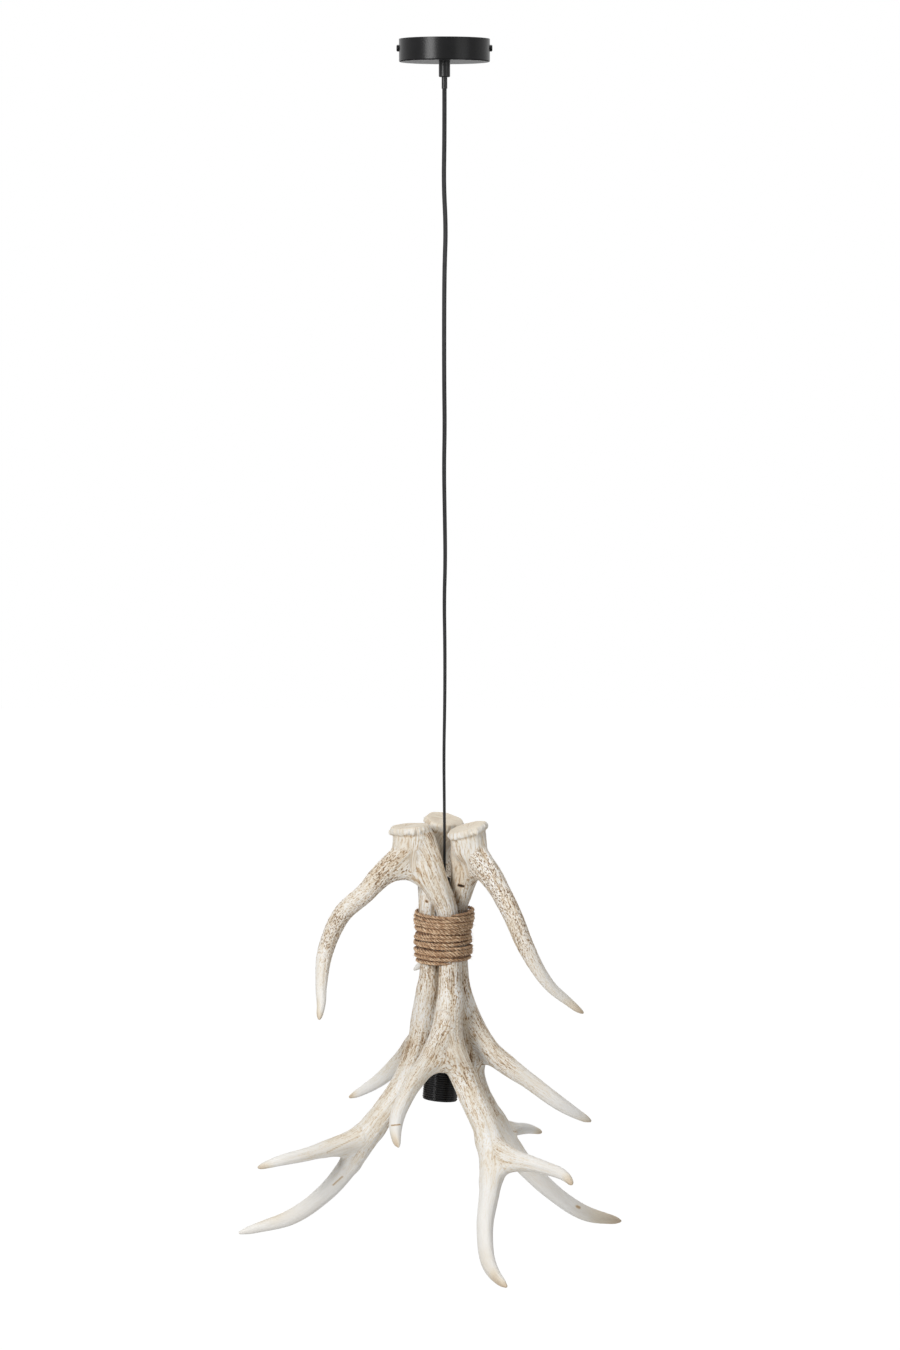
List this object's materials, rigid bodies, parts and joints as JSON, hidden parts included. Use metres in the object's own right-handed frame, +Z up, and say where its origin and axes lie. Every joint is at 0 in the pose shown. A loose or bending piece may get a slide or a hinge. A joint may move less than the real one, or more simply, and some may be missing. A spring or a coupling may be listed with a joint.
{
  "type": "antler pendant chandelier",
  "caption": "Pendant lamp: forked antlers lashed round a threaded tube with jute, one lampholder among them, hung on a flat flex from a round ceiling canopy.",
  "frame": {"origin": "centre of the ceiling plane, on the lamp axis, at the top of the bracket and canopy", "axes": "+Z up, +X to the right of someone facing the lamp, -Y towards them"},
  "size_m": [0.439, 0.437, 1.3439],
  "materials": {
    "zinc": "zinc plated",
    "canopy_black": "semi-gloss",
    "black_screws": "semi-gloss",
    "block_white": "matt",
    "brass": "satin",
    "grip_black": "matt",
    "flex_black": "matt",
    "core_brown": "satin",
    "core_blue": "satin",
    "antler": "hand-finished bone, brown wash in the grooves",
    "jute": "hairy twisted twine",
    "holder_black": "satin",
    "porcelain": "unglazed",
    "nickel": "nickel plated"
  },
  "bodies": {
    "ceiling": {"ceiling_bracket": "zinc", "canopy_cup": "canopy_black", "canopy_screws": "black_screws", "terminal_block": "block_white", "terminal_screws": "brass", "block_screw": "zinc", "grip_body": "grip_black", "grip_sleeve": "grip_black", "grip_washer": "zinc", "grip_locknut": "zinc", "flex_tail": "flex_black", "line_core": "core_brown", "neutral_core": "core_blue"},
    "bend": {"flex_bend": "flex_black"},
    "flex": {"flex_cord": "flex_black"},
    "cluster": {"antler_front": "antler", "antler_left": "antler", "antler_right": "antler", "beam_screws": "zinc", "centre_tube": "zinc", "tube_grip": "grip_black", "tube_grip_screw": "black_screws", "bottom_washer": "zinc", "bottom_nut": "zinc", "flex_inner": "flex_black", "holder_cap": "holder_black", "cap_lock_screw": "black_screws", "holder_barrel": "holder_black", "holder_insert": "porcelain", "holder_terminals": "brass", "screw_shell": "nickel", "centre_contact": "brass", "holder_line_core": "core_brown", "holder_neutral_core": "core_blue", "jute_binding": "jute"}
  },
  "joints": [
    {"name": "swing_side", "type": "hinge", "parent": "ceiling", "child": "bend", "pos_m": [0, 0, -0.0611], "axis": [0, 1, 0], "range_deg": [-30, 30], "deforming": ["flex_bend"]},
    {"name": "swing_front", "type": "hinge", "parent": "bend", "child": "flex", "pos_m": [0, 0, -0.0611], "axis": [1, 0, 0], "range_deg": [-30, 30]},
    {"name": "cluster_turn", "type": "hinge", "parent": "flex", "child": "cluster", "pos_m": [0, 0, -0.926], "axis": [0, 0, 1], "range_deg": [-180, 180]}
  ]
}
